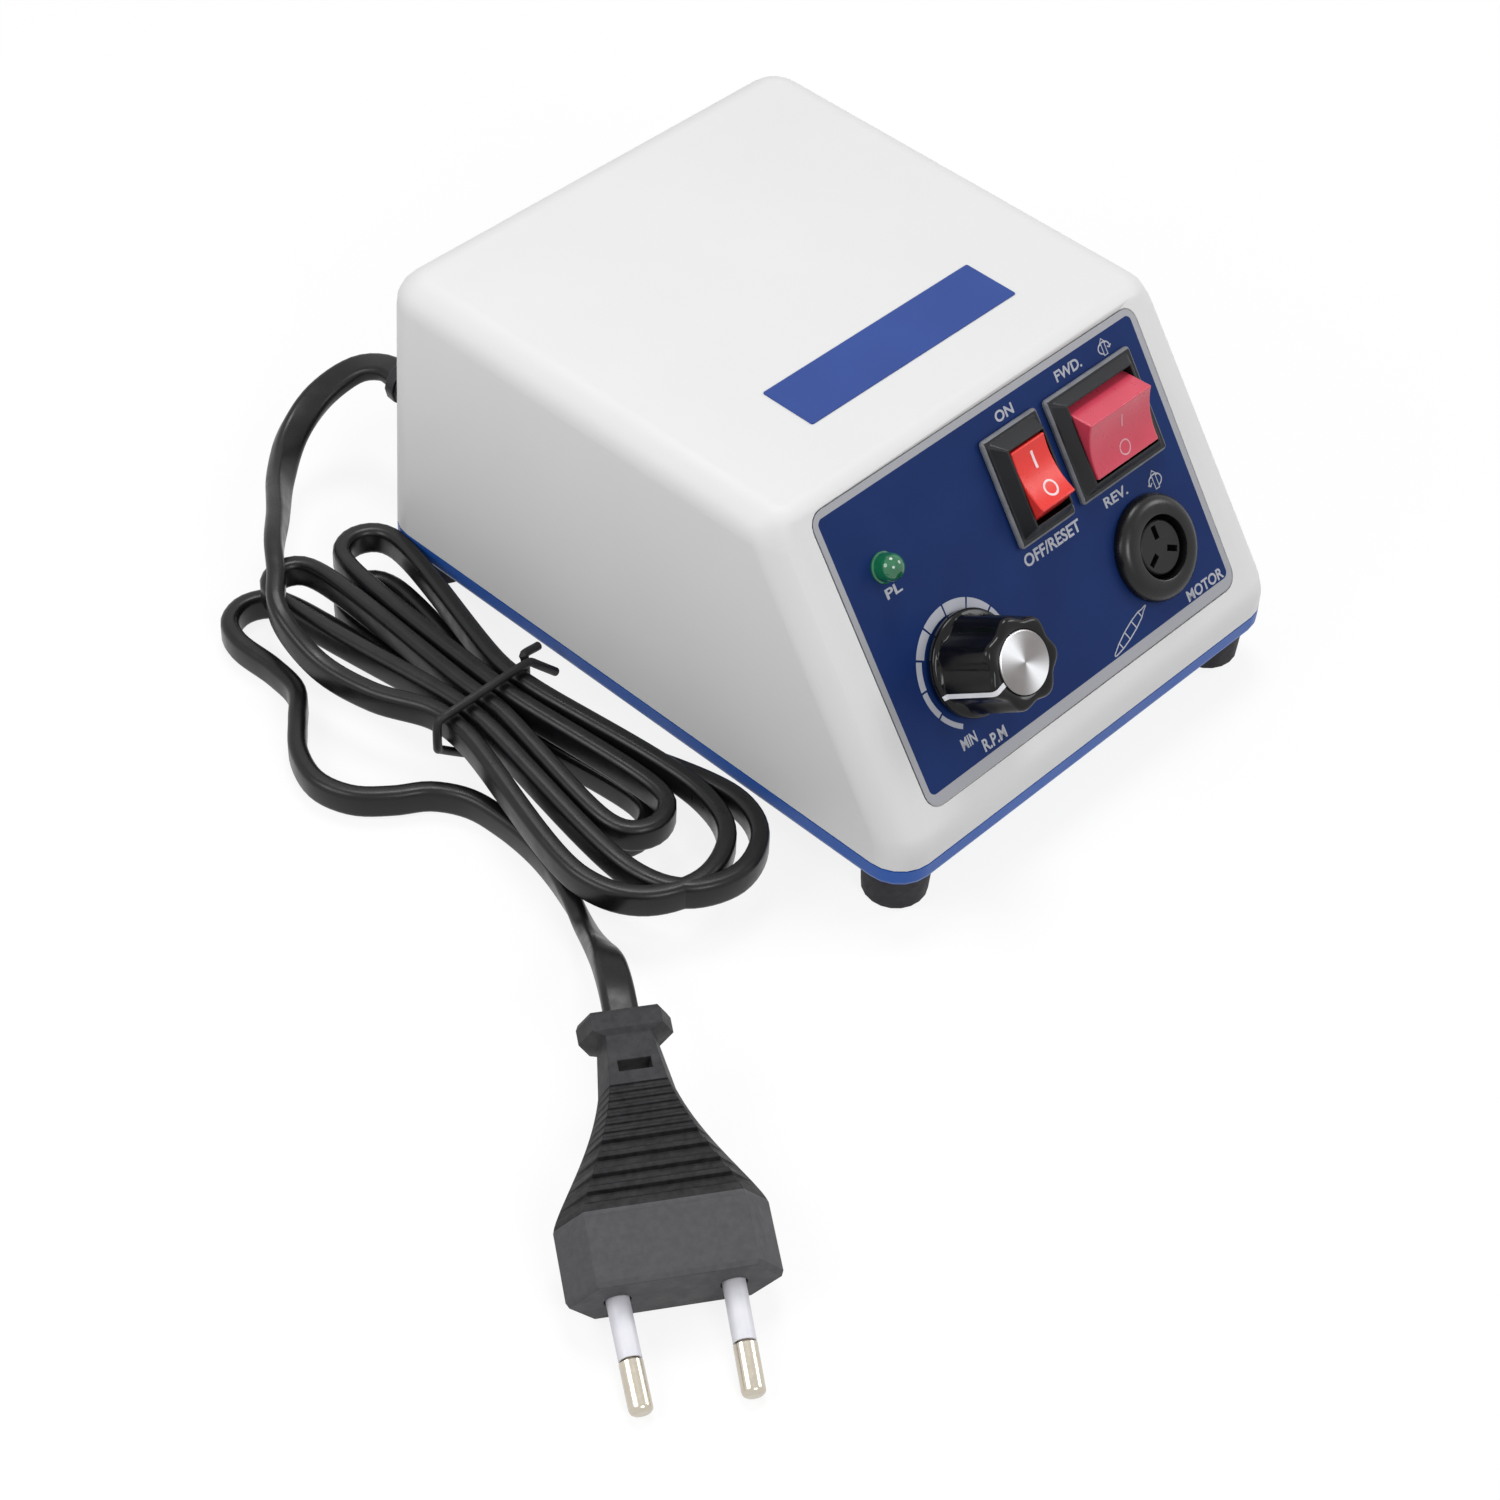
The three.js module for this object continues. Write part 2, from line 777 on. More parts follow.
// Rocker about its pivot: one hollow face between flanks that flare down
function rocker({ rockerWidth, half, rise, dip }) {
  const foot = half + rise * rockerFlareShare;
  const hollow = (half * half + dip * dip) / (2 * dip);
  const reach = Math.asin(half / hollow);
  const down = -Math.PI / 2;
  const outline = new THREE.Shape();
  outline.absarc(0, rise - dip + hollow, hollow, down + reach, down - reach, true);
  outline.lineTo(-foot, 0);
  outline.lineTo(-foot, -rockerBelow);
  outline.lineTo(foot, -rockerBelow);
  outline.lineTo(foot, 0);
  outline.lineTo(half, rise);
  const options = { depth: rockerWidth, bevelEnabled: false, curveSegments: 6 };
  const bar = new THREE.ExtrudeGeometry(outline, options);
  bar.translate(0, 0, -rockerWidth / 2);
  bar.applyMatrix4(
    new THREE.Matrix4().makeBasis(
      new THREE.Vector3(0, 1, 0),
      new THREE.Vector3(0, 0, 1),
      new THREE.Vector3(1, 0, 0),
    ),
  );
  const pinLength = rockerWidth + 2 * trunnionReach;
  const pin = new THREE.CylinderGeometry(trunnionRadius, trunnionRadius, pinLength, 16);
  return join(solid(bar), solid(pin.rotateZ(Math.PI / 2)));
}

function lamp() {
  const flangeTop = -wall - seatGap;
  const dome = [];
  for (let i = 1; i <= 6; i += 1) {
    const angle = (Math.PI * i) / 12;
    dome.push([lampRadius * Math.cos(angle), lampRise - lampRadius + lampRadius * Math.sin(angle)]);
  }
  return turned(
    [
      [0, flangeTop - lampFlange - lampDepth / 2],
      [lampRadius, flangeTop - lampFlange - lampDepth / 2],
      [lampRadius, flangeTop - lampFlange],
      [lampFlangeRadius, flangeTop - lampFlange],
      [lampFlangeRadius, flangeTop],
      [lampRadius, flangeTop],
      [lampRadius, lampRise - lampRadius],
      ...dome,
    ],
    16,
  );
}

function socketHousing() {
  const rim = [];
  for (let i = 0; i <= 5; i += 1) {
    const angle = (Math.PI * i) / 10;
    const radius = socketRadius - socketRound * (1 - Math.cos(angle));
    rim.push([radius, socketRise - socketRound * (1 - Math.sin(angle))]);
  }
  const floor = -socketDepth + socketFloor;
  const body = turned(
    [
      [0, -socketDepth],
      [socketBodyRadius, -socketDepth],
      [socketBodyRadius, seatGap],
      [socketRadius, seatGap],
      ...rim,
      [socketBore + seatGap, socketRise],
      [socketBore, socketRise - seatGap],
      [socketBore, floor],
      [0, floor],
    ],
    32,
  );
  const keyLow = socketRise - 2 * keyDepth;
  return cut(body, block(keyWidth, 2 * keyDepth, keyLow, socketRise + overrun, 0, socketBore));
}

function socketInsert() {
  const low = -socketDepth + socketFloor + seatGap;
  const top = socketRise - insertSink;
  const plug = turned(
    [
      [0, low],
      [insertRadius, low],
      [insertRadius, top - seatGap],
      [insertRadius - seatGap, top],
      [0, top],
    ],
    32,
  );
  const slots = [];
  for (let i = 0; i < insertSlots; i += 1) {
    const angle = (2 * Math.PI * i) / insertSlots + Math.PI / 2;
    const slot = new THREE.BoxGeometry(insertSlotLength, insertSlotWidth, insertSlotDepth);
    slot.translate(insertSlotRing, 0, top - insertSlotDepth / 2 + overrun / 4);
    slots.push(solid(slot.rotateZ(angle)));
  }
  return cut(plug, ...slots);
}

function nut(radius, bore, height, sides) {
  return cut(rod(radius, 0, height, 0, 0, sides), rod(bore, -overrun, height + overrun));
}

// Round shaft with one flat, from its lower to its upper end
function flatted(radius, flat, low, high) {
  const side = 2 * radius;
  return cut(
    rod(radius, low, high),
    block(side, side, low - overrun, high + overrun, 0, radius - flat + side / 2),
  );
}

// Lobed knob about its own axis, its zero height at the panel
function speedKnob() {
  const points = knobLobes * 5;
  const ring = (radius, valley, z) => {
    const list = [];
    for (let i = 0; i < points; i += 1) {
      const angle = (2 * Math.PI * i) / points;
      const wave = Math.abs(Math.sin((knobLobes * angle) / 2));
      const reach = radius - valley * wave * wave;
      list.push(new THREE.Vector3(reach * Math.cos(angle), reach * Math.sin(angle), z));
    }
    return list;
  };
  const top = knobLift + knobHeight;
  const foot = knobLift + skirtHeight;
  const body = solid(
    loft([
      ring(skirtRadius, 0, knobLift),
      ring(skirtRadius, 0, foot - seatGap),
      ring(skirtRadius - seatGap, 0, foot),
      ring(knobFootRadius, knobValley / 3, foot + seatGap),
      ring(knobLobeRadius, knobValley, top - knobShoulder),
      ring(knobLobeRadius - knobShoulder / 3, knobValley, top - knobShoulder / 3),
      ring(knobLobeRadius - knobShoulder, knobValley, top),
    ]),
  );
  const hollow = rod(knobHollowRadius, knobLift - overrun, knobLift + knobHollowHeight, 0, 0, 32);
  const bore = flatted(
    shaftRadius + shaftRunGap,
    shaftFlat,
    knobLift,
    shaftReach + seatGap,
  );
  const recess = rod(capRadius + slideGap, top - capThick, top + overrun, 0, 0, 40);
  return cut(body, hollow, bore, recess);
}

function knobCap() {
  const low = knobLift + knobHeight - capThick + seatGap;
  const top = low + capThick;
  return turned(
    [
      [0, low],
      [capRadius, low],
      [capRadius, top - capEdge],
      [capRadius - capEdge, top],
      [0, top],
    ],
    40,
  );
}

function potShaft() {
  const low = -wall - seatGap - potHeight + potFloor + seatGap;
  const stem = rod(shaftRadius, low, knobLift + knobHollowHeight);
  return join(stem, flatted(shaftRadius, shaftFlat, low, shaftReach));
}

function potBody() {
  const top = -wall - seatGap;
  const bore = shaftRadius + shaftRunGap;
  const can = turned([
    [0, top - potHeight],
    [potRadius, top - potHeight],
    [potRadius, top],
    [bushingRadius, top],
    [bushingRadius, bushingRise],
    [bore, bushingRise],
    [bore, top - potHeight + potFloor],
    [0, top - potHeight + potFloor],
  ]);
  const lugs = [];
  for (let i = -1; i <= 1; i += 1) {
    const y = -potRadius - lugReach / 2 + lugThick;
    const low = top - potHeight;
    lugs.push(block(lugWidth, lugReach, low, low + lugThick, (i * lugPitch) / 2, y));
  }
  return join(can, ...lugs);
}

// Cord guard moulded on the cord, with grooves round its taper
function strainRelief() {
  const low = -wall - seatGap;
  const profile = [
    [0, low - reliefCollar],
    [reliefRootRadius, low - reliefCollar],
    [reliefRootRadius, low],
    [reliefNeckRadius, low],
    [reliefNeckRadius, seatGap],
    [reliefFlangeRadius, seatGap],
    [reliefFlangeRadius, reliefFlange],
    [reliefRootRadius, reliefFlange],
  ];
  const pitch = (reliefLength - reliefFlange) / (reliefGrooves + 1);
  for (let i = 1; i <= reliefGrooves; i += 1) {
    const z = reliefFlange + i * pitch;
    const radius =
      reliefRootRadius +
      ((reliefTipRadius - reliefRootRadius) * (z - reliefFlange)) / (reliefLength - reliefFlange);
    profile.push([radius, z - reliefGroove / 2], [radius - reliefGrooveDepth, z - reliefGroove / 2]);
    profile.push([radius - reliefGrooveDepth, z + reliefGroove / 2], [radius, z + reliefGroove / 2]);
  }
  profile.push([reliefTipRadius, reliefLength], [0, reliefLength]);
  return turned(profile, 12);
}

function fuseHolder() {
  const floor = -fuseBodyDepth;
  return turned(
    [
      [0, floor - fuseFlange],
      [fuseBodyRadius, floor - fuseFlange],
      [fuseBodyRadius, seatGap],
      [fuseFlangeRadius, seatGap],
      [fuseFlangeRadius, fuseFlange],
      [fuseMouth + seatGap, fuseFlange],
      [fuseMouth + seatGap, -fuseCapPlug - seatGap],
      [fuseBore, -fuseCapPlug - seatGap],
      [fuseBore, floor],
      [0, floor],
    ],
    20,
  );
}

function fuseCap() {
  const low = fuseFlange + seatGap;
  const top = fuseFlange + fuseCapRise;
  const body = turned(
    [
      [0, -fuseCapPlug],
      [fuseMouth, -fuseCapPlug],
      [fuseMouth, low],
      [fuseCapRadius, low],
      [fuseCapRadius, top - fuseSlotDepth / 2],
      [fuseCapRadius - fuseSlotDepth / 2, top],
      [0, top],
    ],
    20,
  );
  const slot = block(fuseCapRadius * 3, fuseSlotWidth, top - fuseSlotDepth, top + overrun);
  return cut(body, slot);
}

function fuseLink() {
  const top = -fuseCapPlug - seatGap;
  return rod(fuseLinkRadius, top - fuseLinkLength, top, 0, 0, 16);
}

function pedalJack() {
  const top = -wall - seatGap;
  return turned(
    [
      [0, top - jackBodyDepth],
      [jackBodyRadius, top - jackBodyDepth],
      [jackBodyRadius, top],
      [jackNeckRadius, top],
      [jackNeckRadius, jackNeckRise],
      [jackBore, jackNeckRise],
      [jackBore, top - jackBodyDepth + jackFloor],
      [0, top - jackBodyDepth + jackFloor],
    ],
    24,
  );
}

function selectorFrame() {
  const face = block(selectorPlateWidth, selectorPlateHeight, seatGap, selectorPlate);
  const body = block(selectorBodyWidth, selectorBodyHeight, -selectorBodyDepth, selectorPlate);
  const slotWidth = sliderWidth + selectorTravel + 2 * slideGap;
  const slot = block(slotWidth, sliderHeight + 2 * slideGap, -sliderShelf, selectorPlate + overrun);
  const roomWidth = sliderFootWidth + selectorTravel + 2 * slideGap;
  const roomLow = -sliderShelf - sliderFoot - 2 * slideGap;
  const room = block(roomWidth, sliderFootHeight + 2 * slideGap, roomLow, -sliderShelf);
  return cut(join(face, body), slot, room);
}

function selectorSlider() {
  const footTop = -sliderShelf - slideGap;
  const base = block(sliderFootWidth, sliderFootHeight, footTop - sliderFoot, footTop);
  const grip = block(sliderWidth, sliderHeight, footTop - sliderFoot / 2, selectorPlate + sliderRise);
  return join(base, grip);
}

// Laminated core with two windows, standing on edge, its middle at the origin
function transformerCore() {
  const windowWidth = (coreWidth - 4 * coreLeg) / 2;
  const windowHeight = coreHeight - 2 * coreLeg;
  const outline = block(coreWidth, coreStack, -coreHeight / 2, coreHeight / 2);
  const windows = [-1, 1].map((side) =>
    block(
      windowWidth,
      coreStack + 2 * overrun,
      -windowHeight / 2,
      windowHeight / 2,
      side * (coreLeg + windowWidth / 2),
    ),
  );
  return cut(outline, ...windows);
}

// Wound bobbin round the core's middle leg
function transformerWinding() {
  const windowWidth = (coreWidth - 4 * coreLeg) / 2;
  const windowHeight = coreHeight - 2 * coreLeg - 2 * seatGap;
  const outerWidth = 2 * (coreLeg + windowWidth - seatGap);
  const outerDepth = coreStack + 2 * windingWrap;
  const half = windowHeight / 2;
  const body = plate(outerWidth, outerDepth, windingRound, -half, half);
  const legRoom = block(
    2 * (coreLeg + seatGap),
    coreStack + 2 * seatGap,
    -half - overrun,
    half + overrun,
  );
  return cut(body, legRoom);
}

// Strap over the core with a foot on each side
function transformerBracket() {
  const innerWidth = coreWidth + 2 * seatGap;
  const outerWidth = innerWidth + 2 * bracketThick;
  const low = -coreHeight / 2 - seatGap;
  const top = coreHeight / 2 + seatGap;
  const arch = cut(
    block(outerWidth, bracketWidth, low, top + bracketThick),
    block(innerWidth, bracketWidth + overrun, low - overrun, top),
  );
  const feet = [-1, 1].map((side) => {
    const x = side * (outerWidth / 2 + bracketFoot / 2 - bracketThick / 2);
    return block(bracketFoot + bracketThick, bracketWidth, low, low + bracketThick, x);
  });
  const reach = coreWidth / 2 + bracketThick + seatGap + bracketFoot / 2;
  const holes = [-1, 1].map((side) =>
    rod(bracketScrewRadius + fixGap, low - overrun, low + 2 * bracketThick, side * reach, 0, 16),
  );
  return cut(join(arch, ...feet), ...holes);
}

function circuitBoard() {
  const sheet = block(boardWidth, boardDepth, 0, boardThick, 0, boardY);
  const holes = boardPlaces().map(([x, y]) =>
    rod(boardScrewRadius + fixGap, -overrun, boardThick + overrun, x, y, 16),
  );
  return cut(sheet, ...holes);
}

function capacitor() {
  return turned(
    [
      [0, 0],
      [canRadius - canEdge, 0],
      [canRadius, canEdge],
      [canRadius, canHeight - canEdge],
      [canRadius - canEdge, canHeight],
      [0, canHeight],
    ],
    20,
  );
}

function heatSink() {
  const back = block(sinkWidth, sinkBack, 0, sinkHeight);
  const fins = [];
  for (let i = 0; i < sinkFins; i += 1) {
    const x = (i / (sinkFins - 1) - 1 / 2) * (sinkWidth - sinkFin);
    fins.push(block(sinkFin, sinkFinDepth + sinkBack / 2, 0, sinkHeight, x, sinkFinDepth / 2));
  }
  return join(back, ...fins);
}

function transistor() {
  const low = legReach;
  const body = block(transistorWidth, transistorThick, low, low + transistorHeight);
  const pins = [];
  for (let i = 0; i < legs; i += 1) {
    const x = (i - (legs - 1) / 2) * legPitch;
    pins.push(block(legWidth, legWidth, 0, low + legWidth, x));
  }
  return join(body, ...pins);
}

// Curve through hand-picked places whose frames keep a flat cord's roll under control
class FlatCordCurve extends THREE.CatmullRomCurve3 {
  constructor(points, rolls) {
    super(points, false, "centripetal");
    this.rolls = rolls;
  }

  computeFrenetFrames(segments) {
    const tangents = [];
    const normals = [];
    const binormals = [];
    const up = new THREE.Vector3(0, 0, 1);
    for (let i = 0; i <= segments; i += 1) {
      const share = i / segments;
      const tangent = this.getTangentAt(share);
      const side = new THREE.Vector3().crossVectors(up, tangent).normalize();
      const lift = new THREE.Vector3().crossVectors(tangent, side).normalize();
      const place = share * (this.rolls.length - 1);
      const low = Math.min(Math.floor(place), this.rolls.length - 2);
      const mix = THREE.MathUtils.smoothstep(place - low, 0, 1);
      const roll = THREE.MathUtils.lerp(this.rolls[low], this.rolls[low + 1], mix);
      const normal = side.clone().multiplyScalar(Math.cos(roll)).addScaledVector(lift, Math.sin(roll));
      tangents.push(tangent);
      normals.push(normal);
      binormals.push(new THREE.Vector3().crossVectors(tangent, normal));
    }
    return { tangents, normals, binormals };
  }
}

// Section of the flat cord, wide along its own Y
function cordSection(sides) {
  const shape = new THREE.Shape();
  for (let i = 0; i < sides; i += 1) {
    const angle = (2 * Math.PI * (i + 1 / 2)) / sides;
    const round = Math.max(Math.abs(Math.cos(angle)), Math.abs(Math.sin(angle)));
    const x = (Math.cos(angle) / round) * (cordThick / 2);
    const y = (Math.sin(angle) / round) * (cordWidth / 2);
    const onSide = Math.abs(Math.cos(angle)) > Math.abs(Math.sin(angle));
    const draw = onSide ? 1 : cordEdgeShare;
    if (i === 0) shape.moveTo(x * draw, y * draw);
    else shape.lineTo(x * draw, y * draw);
  }
  shape.closePath();
  return shape;
}

function cordTube(points, rolls, steps, sides) {
  const curve = new FlatCordCurve(points.map((point) => new THREE.Vector3(...point)), rolls);
  const options = { steps, bevelEnabled: false, extrudePath: curve };
  return solid(new THREE.ExtrudeGeometry(cordSection(sides), options));
}

// Plug along +Z: pin face at zero, cord end at plugLength, wide along X
function plugBody() {
  const flatShare = plugFlat / plugWidth;
  const section = (width, thick, z) =>
    [
      [width / 2, 0],
      [(width * flatShare) / 2, thick / 2],
      [(-width * flatShare) / 2, thick / 2],
      [-width / 2, 0],
      [(-width * flatShare) / 2, -thick / 2],
      [(width * flatShare) / 2, -thick / 2],
    ].map(([x, y]) => new THREE.Vector3(x, y, z));
  const neckEnd = plugLength - plugCollar;
  const neck = (z, depth) => {
    const share = (z - plugHead) / (neckEnd - plugHead);
    const flare = (1 + Math.cos(Math.PI * share ** plugFlarePower)) / 2;
    const width = plugNeckWidth + (plugWidth - plugNeckWidth) * flare;
    const thick = plugShoulderThick + (plugNeckThick - plugShoulderThick) * share;
    return section(width, thick - 2 * depth, z);
  };
  const rings = [
    section(plugWidth - plugHeadEdge, plugThick - plugHeadEdge, 0),
    section(plugWidth, plugThick, plugHeadEdge),
    section(plugWidth, plugThick, plugHead - plugHeadEdge),
    neck(plugHead, 0),
  ];
  const ribs = (start, stop, count, depth) => {
    const pitch = (stop - start) / count;
    for (let i = 0; i < count; i += 1) {
      const z = start + i * pitch;
      const [fall, low, rise] = ridgeShares;
      rings.push(neck(z, 0), neck(z + pitch * fall, 0));
      rings.push(neck(z + pitch * low, depth), neck(z + pitch * rise, depth));
    }
  };
  ribs(coarseRibStart, fineRibStart, coarseRibs, coarseRibDepth);
  ribs(fineRibStart, plugRibEnd, fineRibs, fineRibDepth);
  rings.push(neck(plugRibEnd, 0), neck(neckEnd - plugHeadEdge, 0));
  rings.push(section(plugCollarWidth, plugCollarThick, neckEnd));
  rings.push(section(plugCollarWidth, plugCollarThick, plugLength - plugHeadEdge));
  rings.push(section(plugCollarWidth - plugHeadEdge, plugCollarThick - plugHeadEdge, plugLength));
  const slot = block(
    plugSlotWidth,
    plugCollarThick * 2,
    plugSlotPlace - plugSlotHeight / 2,
    plugSlotPlace + plugSlotHeight / 2,
  );
  const pinHole = rod(pinRadius + pinPlayGap, -overrun, pinSink);
  const pinHoles = [-1, 1].map((side) => placed(pinHole, pinPlace(side)));
  return cut(solid(loft(rings)), slot, ...pinHoles);
}

// Pins lean in towards their tips
const pinLean = Math.atan2((pinSpan - pinTipSpan) / 2, pinReach);

function pinPlace(side) {
  return new THREE.Matrix4()
    .makeRotationY(side * pinLean)
    .setPosition((side * pinSpan) / 2, 0, 0);
}

function plugPin() {
  const neck = sleeveRadius - sleeveWall;
  const start = pinSink - seatGap;
  const sleeveEnd = -sleeveLength;
  const tip = [];
  for (let i = 0; i <= 4; i += 1) {
    const angle = (Math.PI * i) / 8;
    const z = -pinReach + (pinRadius / 2) * (1 - Math.sin(angle));
    tip.push([pinRadius - (pinRadius / 2) * (1 - Math.cos(angle)), z]);
  }
  return turned(
    [
      [0, -pinReach],
      ...tip.reverse(),
      [pinRadius, sleeveEnd - seatGap],
      [neck - slideGap, sleeveEnd - seatGap],
      [neck - slideGap, start],
      [0, start],
    ],
    16,
  );
}

function pinSleeve() {
  const bore = sleeveRadius - sleeveWall;
  return cut(rod(sleeveRadius, -sleeveLength, pinSink / 2), rod(bore, -sleeveLength - overrun, pinSink));
}

// The plug lies on its pins' tips and on the lower edge of its pin face
const plugRest = plugThick / 2 - pinRadius;
const plugTilt = Math.atan2(plugRest, pinReach - pinRadius / 2 + plugHeadEdge);
const plugYaw = THREE.MathUtils.degToRad(plugYawDegrees);
const plugSide = new THREE.Vector3(Math.cos(plugYaw), -Math.sin(plugYaw), 0);
const plugAxis = new THREE.Vector3(
  Math.sin(plugYaw) * Math.cos(plugTilt),
  Math.cos(plugYaw) * Math.cos(plugTilt),
  Math.sin(plugTilt),
);
const plugUp = new THREE.Vector3().crossVectors(plugAxis, plugSide);
const plugRise = (plugThick / 2) * Math.cos(plugTilt) - plugHeadEdge * Math.sin(plugTilt);
const plugPlace = new THREE.Matrix4()
  .makeBasis(plugSide, plugUp, plugAxis)
  .setPosition(plugFaceX, plugFaceY, plugRise + floorGap);

// Cord route from the guard on the rear wall to the hank, chosen by hand
const caseCordRoute = [
  [-30, 88.3, 22.9],
  [-30, 92, 22.9],
  [-33, 97, 21.5],
  [-41, 99.5, 18],
  [-50, 97.5, 14.5],
  [-60, 90, 13.5],
  [-70, 79, 16],
  [-77.3, 71.4, 17.7],
  [-82.2, 65, 17.4],
];

// Cord route from the hank to the plug's collar, chosen by hand
const plugCordRoute = [
  [-87.05, -10.35, 3.15],
  [-88.5, -17, 3.15],
  [-91, -24, 3.2],
  [-94, -30.5, 3.7],
  [-97.4, -36.4, 7.2],
  [-101.4, -42.2, 12.4],
  [-105.7, -48.2, 17],
  [-109.8, -53.9, 19.1],
  [-113.18, -58.68, 18.63],
];

// Turns of the hank between its strands, counted from the strand that comes from the case.
// Each turn: middle from the waist's middle, radius, degrees at its start and end, its layer.
const hankTurns = [
  { x: -2, y: -43.5, radius: 14.9, from: 180, to: 360, layer: 1 },
  { x: 13.5, y: 46, radius: 5.7, from: 0, to: 180, layer: 1 },
  { x: 1.6, y: -37.5, radius: 6, from: 0, to: -180, layer: 1 },
  { x: -2.8, y: 49, radius: 5.2, from: 0, to: 180, layer: 1 },
  { x: 3.5, y: -49, radius: 13, from: 180, to: 360, layer: 0 },
  { x: 9.5, y: 42, radius: 5.5, from: 0, to: 180, layer: 0 },
  { x: 2.5, y: -32, radius: 6, from: 0, to: -180, layer: 0 },
  { x: -9.5, y: 50.5, radius: 7, from: 0, to: 180, layer: 0 },
];
const turnPoints = 4;
const hankStart = [
  [-82.48, 64.6, 17.3],
  [-87.9, 57.8, 16.3],
  [-89, 46, 12],
  [-87, 33, 11.3],
];
const hankEnd = [
  [-90.4, 57, 3.15],
  [-91.5, 49.5, 3.15],
  [-96.5, 43.5, 3.15],
  [-101.8, 37, 3.15],
  [-104.3, 29, 3.15],
  [-102.2, 21.8, 3.15],
  [-97, 16.6, 3.15],
  [-91.3, 12.6, 3.15],
  [-87.6, 6.5, 3.15],
  [-86.6, -1, 3.15],
  [-87, -10, 3.15],
];

function cordHeight(layer) {
  return cordWidth / 2 + restLift + layer * layerPitch;
}

// Control points of the hank: the waist of each strand and the arc of each turn
function hankRoute() {
  const points = [...hankStart];
  strandColumns.forEach((column, i) => {
    const middle = (Math.max(...strandColumns) * columnPitch) / 2;
    const x = hankX + column * columnPitch - middle;
    const z = cordHeight(strandLayers[i]) + waistLift;
    const heading = i % 2 === 0 ? -1 : 1;
    points.push([x, hankY - heading * waistHalf, z], [x, hankY + heading * waistHalf, z]);
    const { x: turnX, y: turnY, radius, from, to, layer } = hankTurns[i];
    for (let k = 0; k <= turnPoints; k += 1) {
      const angle = THREE.MathUtils.degToRad(from + ((to - from) * k) / turnPoints);
      const turnPointX = hankX + turnX + radius * Math.cos(angle);
      const turnPointY = hankY + turnY + radius * Math.sin(angle);
      points.push([turnPointX, turnPointY, cordHeight(layer)]);
    }
  });
  points.push(...hankEnd);
  return points;
}

// Outline of the points that lie furthest out, turning one way round
function hull(points) {
  const sorted = points.toSorted((a, b) => a[0] - b[0] || a[1] - b[1]);
  const turnOf = (a, b, c) => (b[0] - a[0]) * (c[1] - a[1]) - (b[1] - a[1]) * (c[0] - a[0]);
  const chain = (list) => {
    const kept = [];
    for (const point of list) {
      while (kept.length > 1 && turnOf(kept.at(-2), kept.at(-1), point) <= weld) kept.pop();
      kept.push(point);
    }
    return kept.slice(0, -1);
  };
  return [...chain(sorted), ...chain(sorted.toReversed())];
}

// Tightest ring round the strands at the waist, from its upper right corner on
function tieRing() {
  const clear = tieRadius + 2 * seatGap;
  const middle = (Math.max(...strandColumns) * columnPitch) / 2;
  const points = [];
  strandColumns.forEach((column, i) => {
    for (const [sideX, sideZ] of [[-1, -1], [1, -1], [1, 1], [-1, 1]]) {
      const x = column * columnPitch - middle + (sideX * cordThick) / 2;
      const z = cordHeight(strandLayers[i]) + waistLift + (sideZ * cordWidth) / 2;
      for (let k = 0; k < tieArcs; k += 1) {
        const angle = (2 * Math.PI * k) / tieArcs;
        points.push([x + clear * Math.cos(angle), z + clear * Math.sin(angle)]);
      }
    }
  });
  const ring = hull(points);
  const reach = Math.max(...ring.map(([x, z]) => x + z));
  const start = ring.findIndex(([x, z]) => x + z > reach - weld);
  return [...ring.slice(start), ...ring.slice(0, start + 1)];
}

// Cord tie: one turn of round tube about the waist, its ends drawn out side by side
function cordTie() {
  const ring = tieRing();
  const points = ring.map(([x, z], i) => {
    const across = tiePitch * (i / (ring.length - 1) - 1 / 2);
    return new THREE.Vector3(hankX + x, hankY + across, z);
  });
  const first = points[0].clone().add(new THREE.Vector3(tieTail, -tieRadius, -tieTail));
  const last = points[points.length - 1].clone();
  last.add(new THREE.Vector3(tieTail, tieRadius, -tieTail / 4));
  const curve = new THREE.CatmullRomCurve3([first, ...points, last], false, "centripetal");
  const section = new THREE.Shape().absarc(0, 0, tieRadius, 0, 2 * Math.PI, false);
  const options = { steps: tieSteps, bevelEnabled: false, extrudePath: curve };
  return solid(new THREE.ExtrudeGeometry(section, { ...options, curveSegments: tieCorners }));
}

// Least gap of the hank to itself, measured on points along its middle line
function hankGap(points) {
  const places3 = points.map((point) => new THREE.Vector3(...point));
  const curve = new THREE.CatmullRomCurve3(places3, false, "centripetal");
  const count = Math.round(curve.getLength() / gapSpacing);
  const places = curve.getSpacedPoints(count);
  const skip = Math.round(gapSkip / gapSpacing);
  let least = Infinity;
  let where = "";
  for (let i = 0; i < places.length; i += 1) {
    for (let j = i + skip; j < places.length; j += 1) {
      const across = Math.hypot(places[i].x - places[j].x, places[i].y - places[j].y) - cordThick;
      const above = Math.abs(places[i].z - places[j].z) - cordWidth;
      const gap = Math.max(across, above);
      if (gap < least) {
        least = gap;
        where = places[i].toArray().map(Math.round) + " and " + places[j].toArray().map(Math.round);
      }
    }
  }
  return { least, where, length: curve.getLength() };
}

